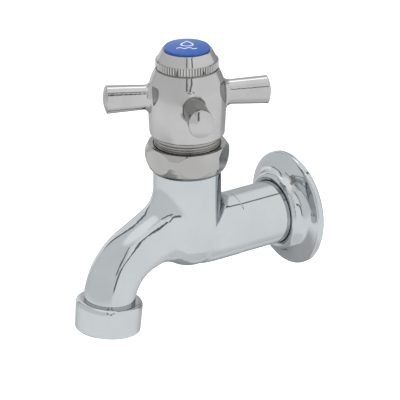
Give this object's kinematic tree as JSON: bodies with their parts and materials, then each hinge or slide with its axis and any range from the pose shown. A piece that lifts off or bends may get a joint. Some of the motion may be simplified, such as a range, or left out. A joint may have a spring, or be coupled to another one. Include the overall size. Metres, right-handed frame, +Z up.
{
  "type": "hose bib",
  "caption": "Chrome wall-mount hose bib: cross handle with blue index disc, hexagonal bonnet, down-turned spout with a plain outlet collar, and a sliding wall flange.",
  "frame": {"origin": "centre of the inlet mouth, on the wall plane", "axes": "+Y into the wall along the inlet, -Y towards the user and spout, +Z up along the valve stem"},
  "size_m": [0.0706, 0.1151, 0.1263],
  "materials": {
    "body_chrome": "polished",
    "flange_chrome": "polished",
    "bonnet_nickel": "polished",
    "nut_nickel": "fine turned",
    "handle_chrome": "polished",
    "cap_chrome": "polished, knurled band",
    "index_blue": "gloss",
    "brass": "machined",
    "steel": "plain",
    "black_rubber": "matte",
    "fibre": "matte",
    "packing": "matte"
  },
  "bodies": {
    "valve_body": {"faucet_body": "body_chrome", "seat_insert": "brass", "seat_gasket": "fibre", "hex_bonnet": "bonnet_nickel", "bonnet_gasket": "fibre", "packing_washer": "brass", "stem_packing": "packing", "packing_nut": "nut_nickel"},
    "flange": {"wall_flange": "flange_chrome", "flange_o_ring": "black_rubber"},
    "disc_carrier": {"disc_holder": "brass", "holder_clip": "steel", "seat_washer": "black_rubber", "washer_screw": "steel"},
    "handle": {"stem": "brass", "cross_handle": "handle_chrome", "handle_lock_washer": "steel", "handle_screw": "steel", "index_cap": "cap_chrome", "index_disc": "index_blue", "disc_retainer": "steel"}
  },
  "joints": [
    {"name": "flange_slide", "type": "slide", "parent": "valve_body", "child": "flange", "axis": [0, -1, 0], "range_m": [0, 0.012]},
    {"name": "disc_lift", "type": "slide", "parent": "valve_body", "child": "disc_carrier", "axis": [0, 0, 1], "range_m": [0, 0.00375]},
    {"name": "handle_turn", "type": "hinge", "parent": "disc_carrier", "child": "handle", "pos_m": [0, -0.0575, 0], "axis": [0, 0, 1], "range_deg": [0, 540]}
  ],
  "couplings": [
    {"joint": "handle_turn", "follows": "disc_lift", "rad_per_m": 2513}
  ]
}
